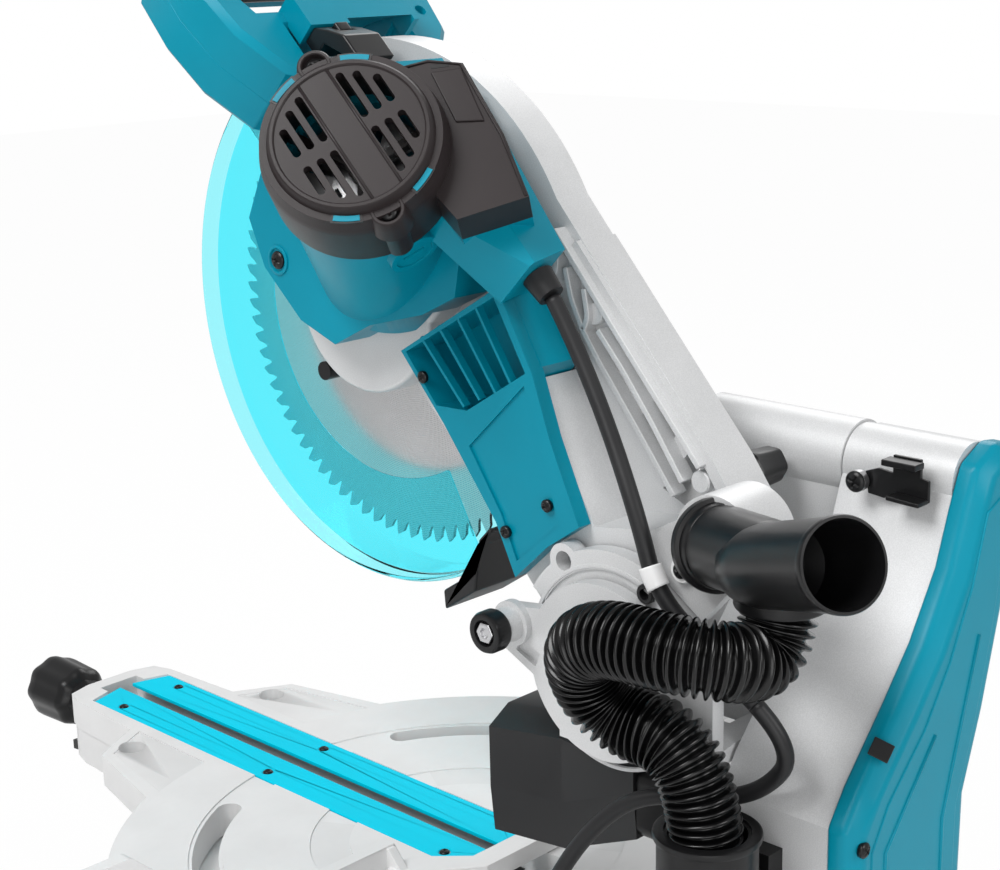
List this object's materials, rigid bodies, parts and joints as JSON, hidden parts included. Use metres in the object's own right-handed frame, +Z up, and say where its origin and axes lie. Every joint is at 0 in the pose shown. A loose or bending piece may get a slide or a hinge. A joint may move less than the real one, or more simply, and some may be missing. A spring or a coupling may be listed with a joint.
{
  "type": "sliding compound mitre saw",
  "caption": "Sliding compound mitre saw with a tilted motor, clear blade guard, twin side rails, dust hood and hose, on a turning table with a long front arm.",
  "frame": {"origin": "on the bench plane, on the axis the table turns about", "axes": "+X to the saw's right, -Y to the user, +Z up"},
  "size_m": [0.69, 0.9189, 0.7123],
  "materials": {
    "white_metal": "satin",
    "silver_metal": "satin",
    "steel": "brushed",
    "teal": "satin",
    "board": "satin",
    "brown_plastic": "satin",
    "black_plastic": "satin",
    "rubber": "matt",
    "scale": "satin",
    "clear_guard": "clear"
  },
  "bodies": {
    "base": {"base_casting": "white_metal", "feet": "rubber", "mitre_bolt": "steel", "mitre_scale": "scale", "fence_lower": "white_metal", "cord_bench": "rubber", "cord_coil": "rubber", "cord_plug": "black_plastic"},
    "fence_right": {"fence_upper_right": "white_metal"},
    "fence_left": {"fence_upper_left": "white_metal"},
    "table": {"table_casting": "white_metal", "kerf_board_right": "board", "kerf_board_left": "board", "board_screws": "steel", "mitre_pointer": "steel", "table_pins": "steel"},
    "grip": {"grip_knob": "black_plastic"},
    "detent": {"detent_lever": "black_plastic"},
    "tower": {"tower_casting": "silver_metal", "tower_cover": "teal", "bevel_shaft": "steel", "slide_rail_upper": "steel", "slide_rail_lower": "steel", "rail_cap": "silver_metal", "tower_studs": "steel", "dust_hood": "rubber", "hood_duct": "black_plastic", "hose_socket": "black_plastic", "dust_hose": "rubber", "cord_tower": "rubber"},
    "bevel_clamp": {"bevel_knob": "black_plastic"},
    "latch": {"latch_lever": "black_plastic"},
    "carriage": {"carriage_casting": "silver_metal", "rail_bearings": "black_plastic", "pivot_shaft": "steel", "slide_stud": "steel", "cord_head": "rubber"},
    "slide_clamp": {"slide_knob": "black_plastic"},
    "stopper": {"stop_pin": "black_plastic"},
    "head": {"arm_casting": "silver_metal", "gear_housing": "silver_metal", "motor_housing": "teal", "motor_cover": "brown_plastic", "brush_caps": "teal", "handle_upper": "teal", "handle_lower": "teal", "control_panel": "black_plastic", "cord_gland": "rubber", "dust_duct": "teal", "rubber_flap": "rubber", "dust_elbow": "black_plastic"},
    "rotor": {"armature": "steel"},
    "trigger": {"trigger": "black_plastic"},
    "lock_off": {"lock_button": "black_plastic"},
    "rocker": {"rocker_switch": "black_plastic"},
    "spindle_lock": {"spindle_lock": "black_plastic"},
    "guard": {"lower_guard": "clear_guard"},
    "blade": {"blade": "steel", "blade_flanges": "steel", "spindle": "steel"}
  },
  "joints": [
    {"name": "mitre", "type": "hinge", "parent": "base", "child": "table", "pos_m": [0, 0, 0.1], "axis": [0, 0, -1], "range_deg": [-60, 60], "deforming": ["cord_bench"]},
    {"name": "fence_right_slide", "type": "slide", "parent": "base", "child": "fence_right", "axis": [1, 0, 0], "range_m": [-0.09, 0]},
    {"name": "fence_left_slide", "type": "slide", "parent": "base", "child": "fence_left", "axis": [-1, 0, 0], "range_m": [-0.09, 0]},
    {"name": "grip_turn", "type": "hinge", "parent": "table", "child": "grip", "pos_m": [0, -0.46, 0.096], "axis": [0, -1, 0], "range_deg": [-60, 60]},
    {"name": "detent_press", "type": "hinge", "parent": "table", "child": "detent", "pos_m": [0, -0.412, 0.066], "axis": [1, 0, 0], "range_deg": [0, 8], "stiffness_Nm_per_rad": 0.5, "springref_deg": -5.73},
    {"name": "bevel", "type": "hinge", "parent": "table", "child": "tower", "pos_m": [0, 0.252, 0.125], "axis": [0, -1, 0], "range_deg": [-45, 45]},
    {"name": "bevel_clamp_turn", "type": "hinge", "parent": "tower", "child": "bevel_clamp", "pos_m": [-0.079, -0.13, 0.371], "axis": [0, -1, 0], "range_deg": [-90, 90]},
    {"name": "latch_turn", "type": "hinge", "parent": "tower", "child": "latch", "pos_m": [-0.05, 0.262, 0.405], "axis": [-1, 0, 0], "range_deg": [0, 18]},
    {"name": "slide", "type": "slide", "parent": "tower", "child": "carriage", "axis": [0, -1, 0], "range_m": [0, 0.228], "deforming": ["dust_hose", "cord_tower"]},
    {"name": "slide_clamp_turn", "type": "hinge", "parent": "carriage", "child": "slide_clamp", "pos_m": [-0.035, 0.203, 0.403], "axis": [1, 0, 0], "range_deg": [-90, 90]},
    {"name": "stopper_press", "type": "slide", "parent": "carriage", "child": "stopper", "axis": [-1, 0, 0], "range_m": [0, 0.0085]},
    {"name": "chop", "type": "hinge", "parent": "carriage", "child": "head", "pos_m": [0, 0.179, 0.308], "axis": [1, 0, 0], "range_deg": [0, 44.7], "stiffness_Nm_per_rad": 30, "springref_deg": -51.57, "deforming": ["cord_head"]},
    {"name": "guard_swing", "type": "hinge", "parent": "head", "child": "guard", "pos_m": [0, -0.04503, 0.47258], "axis": [-1, 0, 0], "range_deg": [0, 114]},
    {"name": "blade_spin", "type": "hinge", "parent": "head", "child": "blade", "pos_m": [0, -0.04503, 0.47258], "axis": [-1, 0, 0], "continuous": true},
    {"name": "motor_spin", "type": "hinge", "parent": "head", "child": "rotor", "pos_m": [0.02, -0.02638, 0.50421], "axis": [0.6587, 0.5292, 0.5348], "continuous": true},
    {"name": "trigger_squeeze", "type": "slide", "parent": "head", "child": "trigger", "axis": [0, -0.7108, 0.7034], "range_m": [0, 0.006], "stiffness_N_per_m": 400, "springref_m": -0.001},
    {"name": "lock_off_press", "type": "slide", "parent": "head", "child": "lock_off", "axis": [0, -0.7034, -0.7108], "range_m": [0, 0.004], "stiffness_N_per_m": 300, "springref_m": -0.001},
    {"name": "rocker_tilt", "type": "hinge", "parent": "head", "child": "rocker", "pos_m": [0.042, -0.04618, 0.63775], "axis": [0, -0.7108, 0.7034], "range_deg": [-3, 3]},
    {"name": "spindle_lock_press", "type": "slide", "parent": "head", "child": "spindle_lock", "axis": [-1, 0, 0], "range_m": [0, 0.003], "stiffness_N_per_m": 300, "springref_m": -0.001}
  ],
  "couplings": [
    {"joint": "guard_swing", "follows": "chop", "ratio": 2.55},
    {"joint": "motor_spin", "follows": "blade_spin", "ratio": -6.5}
  ]
}
